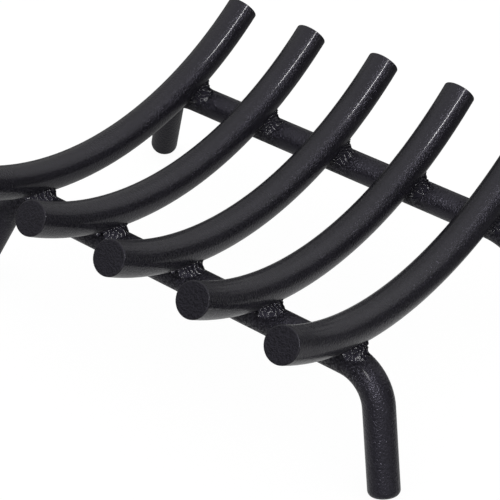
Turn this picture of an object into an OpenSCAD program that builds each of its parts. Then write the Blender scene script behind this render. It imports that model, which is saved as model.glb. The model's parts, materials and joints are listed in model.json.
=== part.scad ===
// Log grate: five curved round bars welded on top of two bent rods.
// Each rod is a rail with a leg at both ends. A weld bead runs round each
// side of every bar where it crosses a rail.
// X runs along the rails, +Y to the back of the fireplace, +Z up.
// The origin is on the hearth, under the middle of the grate.

/* [Bars] */
// Number of bars side by side
bar_count = 5; // [3:1:8]
// Diameter of a bar
bar_d = 19; // [15:0.5:24]
// Distance from one bar's middle to the next
bar_pitch = 52; // [44:1:80]
// Radius that a bar's centreline is bent to
cradle_r = 216; // [190:1:280]
// Angle from a bar's lowest point forward to its front end
front_reach = 34.5; // [30:0.5:42]
// Angle from a bar's lowest point back to its rear end
rear_reach = 35; // [30:0.5:42]
// Height of the underside of the bars above the hearth, at their lowest point
ash_height = 59; // [52:1:110]
// Rounding of the edge round a bar's cut ends
bar_edge = 0.6; // [0.4:0.1:3]

/* [Rails and legs] */
// Diameter of the rod that a rail and its legs are bent from
rod_d = 17; // [13:0.5:20]
// Angle from the bars' lowest point forward to the front rail
front_rail_angle = 15.5; // [10:0.5:20]
// Angle from the bars' lowest point back to the rear rail
rear_rail_angle = 19.5; // [14:0.5:24]
// Straight length of rail past the middle of the outer bar, before the bend
rail_overhang = 0; // [0:1:40]
// Radius that a rod's centreline is bent to between rail and leg
bend_r = 25.5; // [20:0.5:35]
// Angle that a leg is splayed out to the side
leg_splay = 20; // [8:0.5:30]
// Angle that the front legs lean forward
front_lean = 17.5; // [5:0.5:25]
// Angle that the rear legs lean back
rear_lean = 17.5; // [5:0.5:25]
// Rounding of the edge round a foot
foot_edge = 3.5; // [1:0.1:5]
// Depth of the flat that is dressed on the lowest side of a foot
foot_flat = 1; // [0.4:0.1:2]

/* [Welds] */
// Fillet radius of the front rail's weld beads at their middle
front_weld_r = 4; // [3:0.1:6]
// Fillet radius of the rear rail's weld beads at their middle
rear_weld_r = 5; // [3:0.1:6]
// Fillet radius of a weld bead at its front end
weld_front_end_r = 4.5; // [3:0.1:5]
// Fillet radius of a weld bead at its rear end
weld_rear_end_r = 2.2; // [1.8:0.1:4]
// Angle that the front rail's beads reach round a crossing, forward from the bar's side
front_weld_forward = 78; // [50:1:78]
// Angle that the front rail's beads reach round a crossing, back from the bar's side
front_weld_back = 14; // [10:1:50]
// Angle that the rear rail's beads reach round a crossing, forward from the bar's side
rear_weld_forward = 60; // [50:1:78]
// Angle that the rear rail's beads reach round a crossing, back from the bar's side
rear_weld_back = 42; // [10:1:50]
// Length of the rounded tip at each end of a weld bead
weld_tip = 1; // [0.5:0.1:1]
// Height of the ripples along a weld bead
ripple_h = 0.3; // [0:0.05:0.5]
// Gap between a bar and a rail, which the weld beads close
root_gap = 0.2; // [0.1:0.05:0.5]

/* [Hidden] */
SIDES = ["left", "right"];
$fn = 240;

coat = [0.11, 0.11, 0.12];
weld_coat = [0.15, 0.15, 0.16];

bar_r = bar_d / 2;
rod_r = rod_d / 2;

// The bars are bent round one level axis, the cradle axis, above the grate.
// Its Y puts the origin under the middle of the bars' front and rear ends.
cradle_z = ash_height + bar_r + cradle_r;
function end_y(reach) =
    cradle_r * sin(reach) - bar_edge * cos(reach) + (bar_r - bar_edge) * sin(reach) + bar_edge;
cradle_y = (end_y(front_reach) - end_y(rear_reach)) / 2;

// A bar's cut end is a short straight cap, so that the arc stops this much earlier.
cap_angle = bar_edge / cradle_r * 180 / PI;

// Where a straight length follows a bent one, it starts this far inside the bend and
// is thinner by this step, so that the two join in one clean solid.
joint_dive = 0.5;
joint_step = 0.02;

// The rails touch the underside of the bars, but for the gap that the weld closes.
rail_track_r = cradle_r + bar_r + root_gap + rod_r;
rail_half = (bar_count - 1) / 2 * bar_pitch + rail_overhang;
bend_angle = 90 - leg_splay;
bend_drop = bend_r * (1 - cos(bend_angle));

// The hearth is a slab that reaches well past the legs.
hearth_thickness = 20;
hearth_half_x = rail_half + cradle_r;
hearth_half_y = 2 * cradle_r;

// Weld beads: the ripples are low and high stations in turn along the bead.
ripples = 8;
stations = 2 * ripples + 1;
fillet_steps = 4;
// How hollow a bead's face is, from 0 for flat to 1 for a ball rolled along both rods.
hollow = 0.6;
// A bead starts this far from the middle of the crossing, and is rooted this deep in both
// rods before it is cut back to their surfaces.
root_start = 2.5;
root_depth = 1;
toe_depth = 0.15;

function bar_x(i) = (i - (bar_count + 1) / 2) * bar_pitch;
function rail_z(angle) = cradle_z - rail_track_r * cos(angle);
function rail_y(angle) = cradle_y + rail_track_r * sin(angle);

// Leg length from the end of the bend to the foot's cut end. The foot's lowest
// point is foot_flat under the hearth, where the foot is dressed flat.
function leg_tilt(lean) = acos(cos(leg_splay) * cos(lean));
function foot_edge_z(lean) = (rod_r - foot_edge) * sin(leg_tilt(lean)) + foot_edge - foot_flat;
function leg_length(angle, lean) =
    foot_edge + (rail_z(angle) - bend_drop * cos(lean) - foot_edge_z(lean)) / cos(leg_tilt(lean));

// A straight length of round rod from a bend at z = 0 along +Z to its cut end at
// z = length, with the edge there rounded.
module cut_end(r, length, edge) {
    translate([0, 0, -joint_dive])
    rotate_extrude()
    difference() {
        square([r - joint_step, length + joint_dive]);
        translate([r - joint_step - edge, length + joint_dive - edge])
        difference() {
            square(2 * edge);
            circle(edge);
        }
    }
}

// One bar: an arc round the cradle axis, with a cap at both cut ends.
module bar(i) {
    color(coat)
    translate([bar_x(i), cradle_y, cradle_z])
    rotate([0, 90, 0]) {
        rotate([0, 0, cap_angle - front_reach])
        rotate_extrude(angle = front_reach + rear_reach - 2 * cap_angle)
            translate([cradle_r, 0]) circle(bar_r);
        rotate([0, 0, rear_reach - cap_angle])
            translate([cradle_r, 0, 0]) rotate([-90, 0, 0]) cut_end(bar_r, bar_edge, bar_edge);
        rotate([0, 0, cap_angle - front_reach])
            translate([cradle_r, 0, 0]) rotate([90, 0, 0]) cut_end(bar_r, bar_edge, bar_edge);
    }
}

// The bend and the leg at the right-hand end of a rail, from the end of the straight.
module leg(length) {
    translate([0, 0, -bend_r]) rotate([90, 0, 0]) mirror([1, 0, 0]) rotate([0, 0, 90]) {
        rotate_extrude(angle = bend_angle) translate([bend_r, 0]) circle(rod_r);
        rotate([0, 0, bend_angle])
            translate([bend_r, 0, 0]) rotate([-90, 0, 0]) cut_end(rod_r, length, foot_edge);
    }
}

// A rail with its two legs. angle is its place round the cradle axis, and
// lean turns the plane of the bent rod, both positive towards the back.
module bent_rod(angle, lean) {
    length = leg_length(angle, abs(lean));
    difference() {
        translate([0, rail_y(angle), rail_z(angle)])
        rotate([lean, 0, 0]) {
            rotate([0, 90, 0]) cylinder(h = 2 * rail_half, r = rod_r, center = true);
            translate([rail_half, 0, 0]) leg(length);
            mirror([1, 0, 0]) translate([rail_half, 0, 0]) leg(length);
        }
        // the hearth, which dresses the feet flat
        translate([-hearth_half_x, -hearth_half_y, -hearth_thickness])
            cube([2 * hearth_half_x, 2 * hearth_half_y, hearth_thickness]);
    }
}

module front_rail() {
    color(coat) bent_rod(-front_rail_angle, -front_lean);
}

module rear_rail() {
    color(coat) bent_rod(rear_rail_angle, rear_lean);
}

// Weld bead. It is worked out at a crossing: the origin is on top of the rail's
// straight part, Y runs along the bar and Z through both rods' middles. Its shape is
// given as [angle forward, angle back, fillet radius at the middle].
bar_mid_z = root_gap + bar_r;
front_weld = [front_weld_forward, front_weld_back, front_weld_r];
rear_weld = [rear_weld_forward, rear_weld_back, rear_weld_r];

// Station k lies in this direction from the crossing: 0 is the bar's side, -90 its front.
function bead_angle(k, shape) =
    k / (stations - 1) * (shape[0] + shape[1]) - shape[0];

// Fillet radius at station k.
function bead_fillet(k, shape) =
    let (
        u = 2 * k / (stations - 1) - 1,
        end_r = (weld_front_end_r * (1 - u) + weld_rear_end_r * (1 + u)) / 2
    )
    end_r + (shape[2] - end_r) * sqrt(1 - u * u) + (k % 2 == 1 ? ripple_h : 0);

// Middle of a ball of radius f that rests on both rods, in that direction.
function ball(angle, f) =
    let (
        c2 = pow(cos(angle), 2),
        s2 = pow(sin(angle), 2),
        b = 2 * (rod_r * c2 + bar_mid_z * s2),
        c = c2 * f * (2 * rod_r + f) - s2 * (pow(bar_r + f, 2) - pow(bar_mid_z, 2)),
        z = 2 * c / (b + sqrt(b * b - 4 * (s2 - c2) * c))
    )
    [sqrt(max(0, pow(bar_r + f, 2) - pow(z - bar_mid_z, 2))),
     sign(angle) * sqrt(max(0, pow(rod_r + f, 2) - pow(z + rod_r, 2))), z];

// How far the bent bar has risen at y along it.
function bar_rise(y) = y * y / (2 * (cradle_r + bar_r));

// How far the top of a rail has dropped at x, where its bend starts at x = start.
function bend_fall(x, start) =
    let (r = bend_r + rod_r, past = max(0, x - start))
    r - sqrt(r * r - past * past);

// One cross-section of the bead: its root on the bar, its face, its root on the rail.
function bead_ring(k, start, shape) =
    let (
        angle = bead_angle(k, shape),
        f = bead_fillet(k, shape),
        c = ball(angle, f),
        to_bar = [-c.x, 0, bar_mid_z - c.z] / (bar_r + f),
        to_rail = [0, -c.y, -rod_r - c.z] / (rod_r + f),
        toe_bar = c + to_bar * (f + toe_depth),
        toe_rail = c + to_rail * (f + toe_depth),
        turn = acos(to_bar * to_rail),
        root = root_start * [cos(angle), sin(angle)],
        root_bar_z = bar_mid_z - sqrt(pow(bar_r, 2) - pow(root.x, 2)) + root_depth,
        root_rail_z = sqrt(pow(rod_r, 2) - pow(root.y, 2)) - rod_r - root_depth
    )
    concat(
        [[root.x, root.y, root_bar_z]],
        [for (j = [0:fillet_steps])
            let (
                t = j / fillet_steps,
                flat = toe_bar * (1 - t) + toe_rail * t,
                arc = c + (to_bar * sin((1 - t) * turn) + to_rail * sin(t * turn))
                    / sin(turn) * (f + toe_depth),
                p = flat * (1 - hollow) + arc * hollow
            )
            p + [0, 0, (1 - t) * bar_rise(p.y) - t * bend_fall(p.x, start)]],
        [[root.x, root.y, root_rail_z - bend_fall(root.x, start)]]);

function sum(v, i = 0) = i == len(v) ? [0, 0, 0] : v[i] + sum(v, i + 1);

// The bead on the +X side, rooted in both rods. start is where the rail's bend begins.
module rooted_bead(start, shape) {
    rings = [for (k = [0:stations - 1]) bead_ring(k, start, shape)];
    n = len(rings[0]);
    last = stations - 1;
    tip_a = sum(rings[0]) / n - weld_tip * [sin(shape[0]), cos(shape[0]), 0];
    tip_b = sum(rings[last]) / n + weld_tip * [-sin(shape[1]), cos(shape[1]), 0];
    points = concat([for (ring = rings, p = ring) p], [tip_a, tip_b]);
    skin = [for (k = [0:last - 1], j = [0:n - 1])
        let (a = k * n + j, b = k * n + (j + 1) % n)
        each [[a, a + n, b + n], [a, b + n, b]]];
    cap_a = [for (j = [0:n - 1]) [j, (j + 1) % n, stations * n]];
    cap_b = [for (j = [0:n - 1]) [last * n + (j + 1) % n, last * n + j, stations * n + 1]];
    polyhedron(points = points, faces = concat(skin, cap_a, cap_b));
}

// The bead beside bar i on one side of it, cut back to the surfaces of both rods.
module weld(i, side, angle, lean, shape) {
    outward = side == "right" ? bar_count - i : i - 1;
    color(weld_coat)
    difference() {
        translate([bar_x(i), cradle_y, cradle_z])
        rotate([angle, 0, 0])
        translate([0, 0, -cradle_r - bar_r - root_gap])
        mirror([side == "left" ? 1 : 0, 0, 0])
            rooted_bead(outward * bar_pitch + rail_overhang, shape);
        bar(i);
        bent_rod(angle, lean);
    }
}

for (i = [1:bar_count])
    bar(i);
front_rail();
rear_rail();
for (i = [1:bar_count], side = SIDES)
    weld(i, side, -front_rail_angle, -front_lean, front_weld);
for (i = [1:bar_count], side = SIDES)
    weld(i, side, rear_rail_angle, rear_lean, rear_weld);
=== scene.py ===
"""Log grate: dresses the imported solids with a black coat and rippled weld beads, and sets up the
studio.

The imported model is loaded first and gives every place. Each operator below makes one group of
pieces, and the panel in the 3D view's sidebar lists them in the order in which they run.
"""
import json
import math

import bpy
from bpy.props import FloatProperty, FloatVectorProperty, PointerProperty
from mathutils import Matrix, Vector, noise

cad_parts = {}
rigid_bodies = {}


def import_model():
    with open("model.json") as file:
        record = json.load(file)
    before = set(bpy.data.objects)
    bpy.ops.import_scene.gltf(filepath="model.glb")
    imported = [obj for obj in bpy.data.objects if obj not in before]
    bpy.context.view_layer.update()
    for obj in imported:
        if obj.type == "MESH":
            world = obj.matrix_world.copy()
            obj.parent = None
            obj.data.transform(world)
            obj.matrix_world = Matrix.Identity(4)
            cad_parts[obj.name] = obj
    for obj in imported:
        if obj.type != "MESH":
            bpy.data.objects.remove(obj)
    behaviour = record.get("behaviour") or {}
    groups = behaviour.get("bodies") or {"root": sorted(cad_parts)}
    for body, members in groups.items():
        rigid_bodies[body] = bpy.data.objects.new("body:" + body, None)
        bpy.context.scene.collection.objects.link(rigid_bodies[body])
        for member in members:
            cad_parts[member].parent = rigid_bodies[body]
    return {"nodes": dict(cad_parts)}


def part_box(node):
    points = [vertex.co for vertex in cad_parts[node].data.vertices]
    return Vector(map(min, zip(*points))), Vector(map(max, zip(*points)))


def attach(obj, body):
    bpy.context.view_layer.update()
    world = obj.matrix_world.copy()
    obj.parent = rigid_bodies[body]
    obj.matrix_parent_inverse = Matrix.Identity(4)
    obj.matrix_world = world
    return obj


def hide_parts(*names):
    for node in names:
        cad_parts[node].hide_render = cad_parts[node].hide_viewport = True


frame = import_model()

bl_info = {
    "name": "Log Grate",
    "version": (1, 0, 0),
    "blender": (4, 5, 0),
    "location": "3D View > Sidebar > Log Grate",
    "description": "Coats a welded log grate, models its weld beads and sets up a studio for it",
    "category": "Object",
}

BODY = "root"
BARS = sorted(n for n in frame["nodes"] if n.startswith("bar_"))
RAILS = ["front_rail", "rear_rail"]
BEADS = sorted(n for n in frame["nodes"] if n.startswith("weld_"))
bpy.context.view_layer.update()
HEARTH = min(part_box(n)[0].z for n in RAILS)


# ---- small helpers -------------------------------------------------------------------------

def only(o):
    """Selects this object and nothing else, and makes it the active one."""
    bpy.ops.object.select_all(action="DESELECT")
    o.select_set(True)
    bpy.context.view_layer.objects.active = o


def modify(o, kind, name, **settings):
    """Adds a modifier and applies it at once."""
    modifier = o.modifiers.new(name, kind)
    for key, value in settings.items():
        setattr(modifier, key, value)
    only(o)
    bpy.ops.object.modifier_apply(modifier=modifier.name)


def clouds(name, **settings):
    """A procedural texture that a Displace modifier reads."""
    texture = bpy.data.textures.new(name, "CLOUDS")
    for key, value in settings.items():
        setattr(texture, key, value)
    return texture


class Signal:
    """Wraps a node's output socket, so that shader maths reads as Python expressions."""

    def __init__(self, finish, socket):
        self.finish, self.socket = finish, socket

    def maths(self, operation, first, second):
        return self.finish.node("ShaderNodeMath", {"operation": operation}, {0: first, 1: second})

    def __add__(self, other):
        return self.maths("ADD", self, other)

    def __radd__(self, other):
        return self.maths("ADD", other, self)

    def __sub__(self, other):
        return self.maths("SUBTRACT", self, other)

    def __rsub__(self, other):
        return self.maths("SUBTRACT", other, self)

    def __mul__(self, other):
        return self.maths("MULTIPLY", self, other)

    def larger(self, other):
        return self.maths("MAXIMUM", self, other)

    def fold(self, width):
        """Goes up and down between 0 and width."""
        return self.maths("PINGPONG", self, width)

    def step(self, low, high):
        """0 below low, 1 above high, and a smooth step between them."""
        return self.finish.node("ShaderNodeMapRange", {"interpolation_type": "SMOOTHSTEP"},
                                {0: self, 1: low, 2: high})


class Finish:
    """The node tree of a material or of the world."""

    def __init__(self, owner):
        owner.use_nodes = True
        self.owner, self.tree = owner, owner.node_tree
        self.tree.nodes.clear()

    def node(self, kind, settings, sockets, out=0):
        """One node: its settings are set first, then the values and links of its sockets."""
        made = self.tree.nodes.new(kind)
        for key, value in settings.items():
            setattr(made, key, value)
        for key, value in sockets.items():
            if isinstance(value, Signal):
                self.tree.links.new(value.socket, made.inputs[key])
            else:
                made.inputs[key].default_value = value
        return Signal(self, made.outputs[out]) if len(made.outputs) else None

    def place(self):
        """The point's place in the object, in metres, or the direction in which the world lies."""
        return self.node("ShaderNodeTexCoord", {}, {}, "Object")

    def axis(self, vector, letter):
        """One coordinate of a vector: X, Y or Z."""
        return self.node("ShaderNodeSeparateXYZ", {}, {0: vector}, letter)

    def noise(self, place, size, detail=2.0, rough=0.5, contrast=(0.3, 0.7)):
        """Noise with spots about size metres across, spread from 0 to 1."""
        raw = self.node("ShaderNodeTexNoise", {}, {"Vector": place, "Scale": 0.5 / size,
                                                   "Detail": detail, "Roughness": rough})
        return raw.step(*contrast)

    def tint(self, amount, dark, light):
        """The colour dark at 0 and light at 1."""
        return self.node("ShaderNodeMix", {"data_type": "RGBA"},
                         {0: amount, 6: (*dark, 1), 7: (*light, 1)}, 2)

    def bump(self, height, depth, under=None):
        """A bump: a height of 1 stands depth metres proud of 0. It lies over the bump under."""
        sockets = {"Strength": 1.0, "Distance": depth, "Height": height}
        if under:
            sockets["Normal"] = under
        return self.node("ShaderNodeBump", {}, sockets)

    def output(self, shader, kind="ShaderNodeOutputMaterial"):
        self.node(kind, {}, {0: shader})


def shade(colour, factor):
    """A darker or lighter tone of a colour."""
    return tuple(c * factor for c in colour)


# ---- sizes and colours that a user would change ----------------------------------------------

class GRATE_PG_coat(bpy.types.PropertyGroup):
    """The black coat on the bars and rails."""
    colour: FloatVectorProperty(
        name="Colour", description="Colour of the coat", subtype="COLOR", size=3, min=0, max=1,
        default=(0.0062, 0.0058, 0.0080))
    roughness: FloatProperty(
        name="Roughness", description="Roughness of the coat's grain", min=0.05, max=1,
        default=0.29)
    reflection: FloatProperty(
        name="Reflection", description="How strongly the coat's grain reflects", min=0, max=1,
        default=0.24)
    gloss: FloatProperty(
        name="Gloss", description="How much smooth lacquer lies over the grain of the bars",
        min=0, max=1, default=0.35)
    rail_gloss: FloatProperty(
        name="Rail gloss", description="How much of it lies over rails and welds", min=0, max=1,
        default=0.1)
    gloss_roughness: FloatProperty(
        name="Gloss roughness", description="Roughness of the lacquer", min=0, max=1,
        default=0.13)
    sheen_colour: FloatVectorProperty(
        name="Reflection colour", description="Colour of the reflections of bars and rails",
        subtype="COLOR", size=3, min=0, max=1, default=(0.83, 0.79, 1.0))
    grain: FloatProperty(
        name="Grain", description="Width of the coat's grain", unit="LENGTH", min=0.0002,
        max=0.005, default=0.0006)
    grain_depth: FloatProperty(
        name="Grain depth", description="Height of the coat's grain", unit="LENGTH", min=0,
        max=0.001, default=0.00016)
    spatter: FloatProperty(
        name="Spatter", description="Width of the weld spatter under the coat", unit="LENGTH",
        min=0.0005, max=0.005, default=0.0014)
    spatter_height: FloatProperty(
        name="Spatter height", description="Height of the weld spatter", unit="LENGTH", min=0,
        max=0.001, default=0.0008)


class GRATE_PG_crossings(bpy.types.PropertyGroup):
    """Where the bars cross the rails."""
    rail_radius: FloatProperty(
        name="Rail radius", description="Radius of the rod of rails and legs", unit="LENGTH",
        min=0.005, max=0.012, default=0.0085)
    front_angle: FloatProperty(
        name="Front crossing", description="Slope of the bars over the front rail",
        subtype="ANGLE", default=math.radians(-15.5))
    rear_angle: FloatProperty(
        name="Rear crossing", description="Slope of the bars over the rear rail",
        subtype="ANGLE", default=math.radians(19.5))


class GRATE_PG_welds(bpy.types.PropertyGroup):
    """The weld beads between bars and rails."""
    mesh_step: FloatProperty(
        name="Mesh step", description="Size of a bead's faces", unit="LENGTH", min=0.0002,
        max=0.001, default=0.00025)
    swell: FloatProperty(
        name="Swell", description="How far a bead is filled out into its corner", unit="LENGTH",
        min=0, max=0.001, default=0.0002)
    ripple: FloatProperty(
        name="Ripple", description="Distance from one ripple of a bead to the next",
        unit="LENGTH", min=0.001, max=0.006, default=0.0026)
    ripple_height: FloatProperty(
        name="Ripple height", description="Height of the ripples along a bead", unit="LENGTH",
        min=0, max=0.003, default=0.0011)
    ripple_bow: FloatProperty(
        name="Ripple bow", description="How far a ripple trails behind at its toes, in ripples",
        min=0, max=3, default=0.6)
    wander: FloatProperty(
        name="Wander", description="How unevenly the ripples are laid, in ripples", min=0, max=4,
        default=1.1)
    lump: FloatProperty(
        name="Lumps", description="Width of the lumps on a bead", unit="LENGTH", min=0.001,
        max=0.01, default=0.0022)
    lump_height: FloatProperty(
        name="Lump height", description="Height of the lumps on a bead", unit="LENGTH",
        min=0.0001, max=0.002, default=0.0003)
    pit: FloatProperty(
        name="Pits", description="Width of the small pits on a bead", unit="LENGTH", min=0.0004,
        max=0.003, default=0.0008)
    pit_depth: FloatProperty(
        name="Pit depth", description="Depth of the small pits on a bead", unit="LENGTH", min=0,
        max=0.001, default=0.00012)
    roughness: FloatProperty(
        name="Roughness", description="Roughness of the coat over the welds", min=0.1, max=1,
        default=0.14)


class GRATE_PG_studio(bpy.types.PropertyGroup):
    """Floor, light and camera."""
    floor_size: FloatProperty(
        name="Floor", description="Side of the square floor", unit="LENGTH", min=1, max=20,
        default=6)
    shadow: FloatProperty(
        name="Shadow", description="How much of its real shading the white floor shows", min=0,
        max=1, default=0.1)
    dome: FloatProperty(
        name="Dome", description="Level of the even light from all round", min=0, max=2,
        default=0.85)
    horizon: FloatProperty(
        name="Horizon", description="Level of the room near the horizon, in reflections", min=0,
        max=1, default=0.5)
    bounce: FloatProperty(
        name="Bounce", description="Level of the floor under the grate, in reflections", min=0,
        max=1, default=0.62)
    far_bounce: FloatProperty(
        name="Far bounce", description="Level of the floor round it, in reflections", min=0,
        max=1, default=0.14)
    strip_power: FloatProperty(
        name="Strip", description="Power of the strip light at the right, which the bars mirror",
        unit="POWER", min=0, max=100, default=10.5)
    weld_power: FloatProperty(
        name="Weld light", description="Power of the soft light on the welds", unit="POWER",
        min=0, max=200, default=93)
    front_power: FloatProperty(
        name="Front light", description="Power of the small light on rails and legs",
        unit="POWER", min=0, max=100, default=13)
    focal: FloatProperty(
        name="Focal length", description="Focal length on a 36 mm wide sensor", unit="CAMERA",
        min=20, max=300, default=113.26)
    camera_place: FloatVectorProperty(
        name="Camera", description="Where the camera stands", subtype="TRANSLATION",
        unit="LENGTH", size=3, default=(0.40918, -0.58099, 0.56971))
    camera_yaw: FloatProperty(
        name="Yaw", description="Turn of the camera to the left", subtype="ANGLE",
        default=math.radians(35.369))
    camera_pitch: FloatProperty(
        name="Pitch", description="Tilt of the camera down", subtype="ANGLE",
        default=math.radians(36.697))
    camera_roll: FloatProperty(
        name="Roll", description="Turn of the picture about its middle", subtype="ANGLE",
        default=math.radians(-2.490))


# ---- bars and rails ----------------------------------------------------------------------------

CLOUD_WIDTH = 0.018             # width of the spots in which the coat's tone and gloss vary
SPECK_WIDTH = 1.2               # width of the fine specks in its tone, as a share of the grain's
SPECK_SHARE = 0.75              # how much of the tone's change the specks make, and not the spots
TONES = (0.7, 1.4)              # darkest and lightest tone, as a share of the coat's colour
ROUGHNESS_SPREAD = 0.08         # how much the roughness varies from spot to spot
SHADE_TONE = 0.8                 # tone of the painted shade in weld hollows and between spatter, as a share of the coat's colour
SLAG = (0.35, 0.5)              # width and height of the slag on a weld, as shares of spatter's
ROW_WIDTH = 0.5                 # width of the finest spatter, as a share of the spatter's
SPATTER_SHADE = 0.65             # how strongly painted shade turns the coat darker and matt between the spatter
SPATTER_FADE = (0.008, 0.024)   # away from a bar's middle line, spatter ends between these
SPATTER_FOOT = (0.033, 0.045)   # and down the legs between these heights over the hearth


def ripple_shade_and_slag(f, place, coat, ripples):
    """Painted shade in a weld bead's hollows, as a darker matt coat, and the bump of the slag on
    it.
    """
    crest = f.node("ShaderNodeAttribute", {"attribute_name": ripples}, {}, "Fac")
    width, height = SLAG
    slag = f.noise(place, coat.spatter * width, detail=2, rough=0.7)
    # Painted shade: away from the ripples' crests and the slag, the coat turns darker and matt.
    hollow_shade = 1 - (crest * 0.85 + slag * 0.3).step(0.3, 0.7)
    return hollow_shade, f.bump(slag, coat.spatter_height * height)


def spatter_shade_and_bump(f, place, coat, pitch):
    """Painted shade between the weld spatter beside the crossings, as a darker matt coat, and the
    spatter's bump.
    """
    beside = 1 - f.axis(place, "X").fold(pitch / 2).step(*SPATTER_FADE)
    low, high = (HEARTH + height for height in SPATTER_FOOT)
    beside *= f.axis(place, "Z").step(low, high)
    apart = f.node("ShaderNodeTexVoronoi", {}, {"Vector": place, "Scale": 0.8 / coat.spatter},
                   "Distance")
    drops = 1 - apart.step(0.1, 0.6)
    rows = f.noise(place, coat.spatter * ROW_WIDTH, detail=3, rough=0.7)
    spatter = drops * 0.6 + rows * 0.6
    # Painted shade: between the spatter drops the coat turns darker and matt.
    hollow_shade = beside * (1 - spatter.step(0.2, 0.6)) * SPATTER_SHADE
    return hollow_shade, f.bump(beside * spatter, coat.spatter_height)


def coat_finish(name, coat, roughness, gloss, spatter_pitch=None, ripples=None):
    """Black coat with a fine grain under a smooth lacquer. Where spatter_pitch is given, it lies
    over weld spatter beside the crossings, which are that far apart. ripples names an attribute
    that is 0 in the hollows of a weld bead and 1 on its ripples."""
    f = Finish(bpy.data.materials.new(name))
    place = f.place()
    grain = f.noise(place, coat.grain, detail=1, rough=0.8)
    speck = f.noise(place, coat.grain * SPECK_WIDTH, detail=1, contrast=(0.45, 0.65))
    cloud = f.noise(place, CLOUD_WIDTH, detail=3)
    hollow_shade, under = None, None
    if ripples:
        hollow_shade, under = ripple_shade_and_slag(f, place, coat, ripples)
    elif spatter_pitch:
        hollow_shade, under = spatter_shade_and_bump(f, place, coat, spatter_pitch)
    dark, light = (shade(coat.colour, tone) for tone in TONES)
    # Where less lacquer lies over it, the grain itself reflects more.
    reflection = coat.reflection + (coat.gloss - gloss) / 2
    shader = f.node("ShaderNodeBsdfPrincipled", {}, {
        "Base Color": f.tint(cloud * (1 - SPECK_SHARE) + speck * SPECK_SHARE, dark, light),
        "Roughness": roughness - ROUGHNESS_SPREAD / 2 + cloud * ROUGHNESS_SPREAD,
        "Metallic": 0.0,
        "Specular IOR Level": reflection,
        "Specular Tint": (1, 1, 1, 1) if ripples else (*coat.sheen_colour, 1),
        "Coat Weight": gloss,
        "Coat Roughness": coat.gloss_roughness,
        "Normal": f.bump(grain, coat.grain_depth, under)})
    # Painted shade in the hollows: there the glossy coat gives way to a darker matt one.
    if hollow_shade:
        shade_colour = shade(coat.colour, SHADE_TONE)
        matt = f.node("ShaderNodeBsdfDiffuse", {}, {"Color": (*shade_colour, 1)})
        shader = f.node("ShaderNodeMixShader", {}, {0: hollow_shade, 1: shader, 2: matt})
    f.output(shader)
    return f.owner


class GRATE_OT_coat_rods(bpy.types.Operator):
    """Coats the bars and the two bent rods with the grained black coat"""
    bl_idname = "grate.coat_rods"
    bl_label = "Coat Bars and Rails"

    def execute(self, context):
        coat = context.scene.grate_coat
        pitch = (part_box("bar_2")[0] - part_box("bar_1")[0]).x
        black = coat_finish("black coat", coat, coat.roughness, coat.gloss)
        spattered = coat_finish("black coat over spatter", coat, coat.roughness, coat.rail_gloss,
                                spatter_pitch=pitch)
        for name in BARS + RAILS:
            rod = frame["nodes"][name]
            rod.data.materials.clear()
            rod.data.materials.append(spattered if name in RAILS else black)
        return {"FINISHED"}


# ---- weld beads --------------------------------------------------------------------------------

BEAD_PATH_RADIUS = 0.0095   # a bead runs round its crossing about this far from the middle
BEAD_HALF_HEIGHT = 0.004    # from where the rods touch up or down to the bead's toe
RIPPLE_SLANT = 0.006        # the ripples lean by one ripple over this height
WANDER_WIDTH = 0.004        # width of the noise that makes the ripples uneven
SAME_POINT = 1e-6           # points of a packed bead closer than this are one


def crossing(name, crossings):
    """The frame of the crossing that a bead lies at, and its middle, where the rods touch: X
    points along the rail away from the bar, Y along the bar and Z from the rail to the bar."""
    _, row, number, side = name.split("_")
    front = row == "front"
    angle = crossings.front_angle if front else crossings.rear_angle
    low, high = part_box(row + "_rail")
    bar_low, bar_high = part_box("bar_" + number)
    radius = crossings.rail_radius
    out = Vector((1 if side == "right" else -1, 0, 0))
    along = Vector((0, math.cos(angle), math.sin(angle)))
    up = Vector((0, -math.sin(angle), math.cos(angle)))
    rail = Vector(((bar_low.x + bar_high.x) / 2, high.y - radius if front else low.y + radius,
                   high.z - radius))
    return Matrix((out, along, up)).transposed().to_4x4(), rail + up * radius


def mark_ripples(bead, turned, middle, welds):
    """Gives each point of a bead its height in the ripples, which run across the bead round the
    crossing."""
    to_crossing = turned.inverted() @ Matrix.Translation(-middle)
    heights = []
    for point in bead.data.vertices:
        p = to_crossing @ point.co
        travel = math.atan2(p.y, p.x) * BEAD_PATH_RADIUS / welds.ripple
        bow = welds.ripple_bow * (p.z / BEAD_HALF_HEIGHT) ** 2 + p.z / RIPPLE_SLANT
        phase = travel + bow + welds.wander * noise.noise(point.co / WANDER_WIDTH)
        heights.append(1 - abs(math.sin(math.pi * phase)))
    group = bead.vertex_groups.new(name="ripples")
    for index, height in enumerate(heights):
        group.add([index], height, "REPLACE")
    bead.data.attributes.new("crest", "FLOAT", "POINT").data.foreach_set("value", heights)


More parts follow.
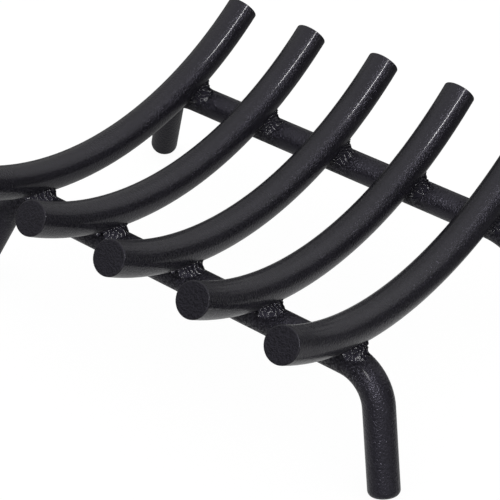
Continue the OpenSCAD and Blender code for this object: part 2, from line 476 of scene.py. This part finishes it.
class GRATE_OT_lay_welds(bpy.types.Operator):
    """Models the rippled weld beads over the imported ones"""
    bl_idname = "grate.lay_welds"
    bl_label = "Lay Weld Beads"

    def execute(self, context):
        coat, welds = context.scene.grate_coat, context.scene.grate_welds
        finish = coat_finish("weld coat", coat, welds.roughness, coat.rail_gloss, ripples="crest")
        lumps = clouds("lumps", noise_scale=welds.lump, noise_depth=1)
        pits = clouds("pits", noise_scale=welds.pit, noise_depth=1, noise_type="HARD_NOISE")
        # At this middle level the lumps also fill the bead out by swell.
        filled = 0.5 - welds.swell / welds.lump_height
        for name in BEADS:
            bead = self.copy_bead(context, name)
            modify(bead, "REMESH", "even mesh", mode="VOXEL", voxel_size=welds.mesh_step)
            modify(bead, "SMOOTH", "even out", factor=0.5, iterations=8)
            mark_ripples(bead, *crossing(name, context.scene.grate_crossings), welds)
            modify(bead, "DISPLACE", "lumps", texture=lumps, texture_coords="LOCAL",
                   strength=welds.lump_height, mid_level=filled)
            modify(bead, "DISPLACE", "ripples", vertex_group="ripples",
                   strength=welds.ripple_height, mid_level=0.5)
            modify(bead, "DISPLACE", "pits", texture=pits, texture_coords="LOCAL",
                   strength=-welds.pit_depth, mid_level=0.5)
            bpy.ops.object.shade_smooth()
            bead.data.materials.clear()
            bead.data.materials.append(finish)
            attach(bead, BODY)
            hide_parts(name)
        return {"FINISHED"}

    def copy_bead(self, context, name):
        """A closed copy of a packed bead, without the frame's marks."""
        only(frame["nodes"][name])
        bpy.ops.object.duplicate()
        bead = context.view_layer.objects.active
        bead.name = name.replace("weld", "bead")
        bead.parent = None
        for key in list(bead.keys()):
            del bead[key]
        bpy.ops.object.mode_set(mode="EDIT")
        bpy.ops.mesh.select_all(action="SELECT")
        bpy.ops.mesh.remove_doubles(threshold=SAME_POINT)
        bpy.ops.mesh.normals_make_consistent(inside=False)
        bpy.ops.object.mode_set(mode="OBJECT")
        return bead


# ---- studio ------------------------------------------------------------------------------------

# Round parts of the room as the grate sees them, in degrees: azimuth, elevation, radius and soft
# edge.
WALL = (-50, 5, 40, 20)         # at the left
TABLE = (115, 0, 52, 14)        # pale, at the right
WINDOW = (-178, 30, 16, 10)     # at the front
CORNER = (-152, 8, 16, 6)       # dim, at the window's left
DOORWAY = (46, 0, 20, 7)        # dark, at the back right
LINTEL = (76, 32, 22, 6)        # dark, above it to the right

# The level at which the coat mirrors each of them. A later one lies over the earlier ones.
MIRRORED = ((WALL, 0.42), (TABLE, 0.85), (WINDOW, 1.4), (CORNER, 0.12), (DOORWAY, 0.04),
            (LINTEL, 0.15))

ROOM_RISE = (-0.1, 0.75)        # the room grows from the horizon's level to white between these
UNDER_GRATE = (0.12, 0.3)       # the floor's level falls off between these distances
DOORWAY_START = (0.12, 0.25)    # the doorway's dark floor begins between these distances
DOORWAY_SHADE = 0.75            # how much darker the floor is there
DIM_SIDE = (-0.08, 0.2)         # towards the back left the floor gets dim between these depths
DIM_SHADE = 0.55                # how much darker the floor is there
FLOOR_COLOUR = (0.85, 0.85, 0.85, 1)
FLOOR_WHITE = 1.05              # the eye sees the floor at this level, less its shading
WHITE = (1, 1, 1, 1)
LIT_MIDDLE = Vector((0, 0, 0.06))   # the lights are aimed at this point
SENSOR_WIDTH = 36


def towards(azimuth, elevation, distance=1):
    """A place at this distance from the grate, with its direction in degrees. The azimuth runs
    from the back of the fireplace to the right."""
    a, e = math.radians(azimuth), math.radians(elevation)
    return Vector((math.sin(a) * math.cos(e), math.cos(a) * math.cos(e), math.sin(e))) * distance


def soft_light(name, place, size, power, turn, lit):
    """A rectangular light that lights only the objects in lit, turned about its own axis by turn
    degrees."""
    light = bpy.data.lights.new(name, "AREA")
    light.shape = "RECTANGLE"
    light.size, light.size_y = size
    light.energy = power
    o = bpy.data.objects.new(name, light)
    bpy.context.scene.collection.objects.link(o)
    facing = (LIT_MIDDLE - place).to_track_quat("-Z", "Y").to_matrix().to_4x4()
    turned = Matrix.Rotation(math.radians(turn), 4, "Z")
    o.matrix_world = Matrix.Translation(place) @ facing @ turned
    reach = bpy.data.collections.new(name + " reach")
    for piece in lit:
        reach.objects.link(piece)
    o.light_linking.receiver_collection = reach


def rays(f):
    """1 on camera and transmission rays, and 1 on the rays that the coat mirrors."""
    paths = [f.node("ShaderNodeLightPath", {}, {}, kind) for kind in
             ("Is Camera Ray", "Is Transmission Ray", "Is Glossy Ray")]
    camera = paths[0].larger(paths[1])
    return camera, paths[2] * (1 - camera)


def patch(f, facing, azimuth, elevation, radius, edge):
    """1 in a round part of the room and 0 outside it, with a soft edge."""
    near = f.node("ShaderNodeVectorMath", {"operation": "DOT_PRODUCT"},
                  {0: facing, 1: towards(azimuth, elevation)}, "Value")
    outer, inner = (math.cos(math.radians(angle)) for angle in (radius + edge, radius - edge))
    return near.step(outer, inner)


class GRATE_OT_set_studio(bpy.types.Operator):
    """Sets up the pale floor, the soft lights, the white surroundings and the camera"""
    bl_idname = "grate.set_studio"
    bl_label = "Set Up Studio"

    def execute(self, context):
        studio = context.scene.grate_studio
        self.lay_floor(studio)
        self.light_room(context, studio)
        self.place_lights(context, studio)
        self.place_camera(context, studio)
        context.scene.view_settings.view_transform = "Standard"
        return {"FINISHED"}

    def lay_floor(self, studio):
        """The floor is white to the eye, and the coat mirrors it darker away from the grate."""
        bpy.ops.object.select_all(action="DESELECT")
        bpy.ops.mesh.primitive_plane_add(size=studio.floor_size, location=(0, 0, HEARTH))
        floor = bpy.context.view_layer.objects.active
        floor.name = "floor"
        f = Finish(bpy.data.materials.new("white floor"))
        camera, mirror = rays(f)
        place = f.place()
        distance = f.node("ShaderNodeVectorMath", {"operation": "LENGTH"}, {0: place}, "Value")
        heading = f.node("ShaderNodeVectorMath", {"operation": "NORMALIZE"}, {0: place})
        bounce = studio.bounce - distance.step(*UNDER_GRATE) * (studio.bounce - studio.far_bounce)
        doorway = distance.step(*DOORWAY_START) * patch(f, heading, *DOORWAY)
        bounce *= 1 - doorway * DOORWAY_SHADE
        to_back_left = f.axis(place, "Y") - f.axis(place, "X")
        bounce *= 1 - to_back_left.step(*DIM_SIDE) * DIM_SHADE
        lit = f.node("ShaderNodeBsdfDiffuse", {}, {"Color": FLOOR_COLOUR})
        white = f.node("ShaderNodeEmission", {}, {
            "Color": WHITE, "Strength": camera * FLOOR_WHITE + mirror * bounce})
        f.output(f.node("ShaderNodeMixShader", {}, {
            0: camera.larger(mirror) * (1 - studio.shadow), 1: lit, 2: white}))
        floor.data.materials.append(f.owner)

    def light_room(self, context, studio):
        """The room is white to the eye, and the coat mirrors it as MIRRORED says."""
        world = bpy.data.worlds.new("studio")
        context.scene.world = world
        f = Finish(world)
        camera, mirror = rays(f)
        facing = f.place()
        rise = f.axis(facing, "Z").step(*ROOM_RISE)
        mirrored = rise * (1 - studio.horizon) + studio.horizon
        for part, level in MIRRORED:
            mirrored = mirrored + patch(f, facing, *part) * (level - mirrored)
        diffuse = (1 - camera - mirror) * studio.dome
        f.output(f.node("ShaderNodeBackground", {}, {
            "Color": WHITE, "Strength": camera + mirror * mirrored + diffuse}),
            "ShaderNodeOutputWorld")

    def place_lights(self, context, studio):
        """The strip that the bars mirror, and the lights on the welds and on the rails. Each has
        its direction and distance from the grate, its width and height, and its power."""
        bars, rails = ([frame["nodes"][name] for name in names] for names in (BARS, RAILS))
        beads = [o for o in context.scene.objects if o.name.startswith("bead_")]
        soft_light("strip light", towards(89, 45, 1.5), (0.8, 0.022), studio.strip_power, 42, bars)
        soft_light("weld light", towards(172, 22, 1.4), (0.8, 0.6), studio.weld_power, 0, beads)
        soft_light("front light", towards(156, 47, 1.6), (0.26, 0.3), studio.front_power, 0, rails)

    def place_camera(self, context, studio):
        """The camera stands where the photograph was taken from."""
        yaw, pitch, roll = studio.camera_yaw, studio.camera_pitch, studio.camera_roll
        ahead = Vector((-math.sin(yaw) * math.cos(pitch), math.cos(yaw) * math.cos(pitch),
                        -math.sin(pitch)))
        level_right = Vector((math.cos(yaw), math.sin(yaw), 0))
        level_down = ahead.cross(level_right)
        right = level_right * math.cos(roll) + level_down * math.sin(roll)
        down = level_down * math.cos(roll) - level_right * math.sin(roll)
        camera = bpy.data.objects.new("camera", bpy.data.cameras.new("camera"))
        context.scene.collection.objects.link(camera)
        turned = Matrix((right, -down, -ahead)).transposed().to_4x4()
        camera.matrix_world = Matrix.Translation(studio.camera_place) @ turned
        camera.data.sensor_width = SENSOR_WIDTH
        camera.data.lens = studio.focal
        context.scene.camera = camera


# ---- panel and registration ----------------------------------------------------------------------

SETTINGS = {"grate_coat": GRATE_PG_coat, "grate_crossings": GRATE_PG_crossings,
            "grate_welds": GRATE_PG_welds, "grate_studio": GRATE_PG_studio}
STEPS = (GRATE_OT_coat_rods, GRATE_OT_lay_welds, GRATE_OT_set_studio)


class GRATE_PT_steps(bpy.types.Panel):
    """The steps that dress the grate"""
    bl_idname = "GRATE_PT_steps"
    bl_label = "Log Grate"
    bl_space_type = "VIEW_3D"
    bl_region_type = "UI"
    bl_category = "Log Grate"

    def draw(self, context):
        for step in STEPS:
            self.layout.operator(step.bl_idname)


CLASSES = (*SETTINGS.values(), *STEPS, GRATE_PT_steps)


def register():
    for c in CLASSES:
        bpy.utils.register_class(c)
    for name, group in SETTINGS.items():
        setattr(bpy.types.Scene, name, PointerProperty(type=group))


def unregister():
    for name in SETTINGS:
        delattr(bpy.types.Scene, name)
    for c in reversed(CLASSES):
        bpy.utils.unregister_class(c)


def main():
    register()
    bpy.ops.grate.coat_rods()
    bpy.ops.grate.lay_welds()
    bpy.ops.grate.set_studio()


if __name__ == "__main__":
    main()
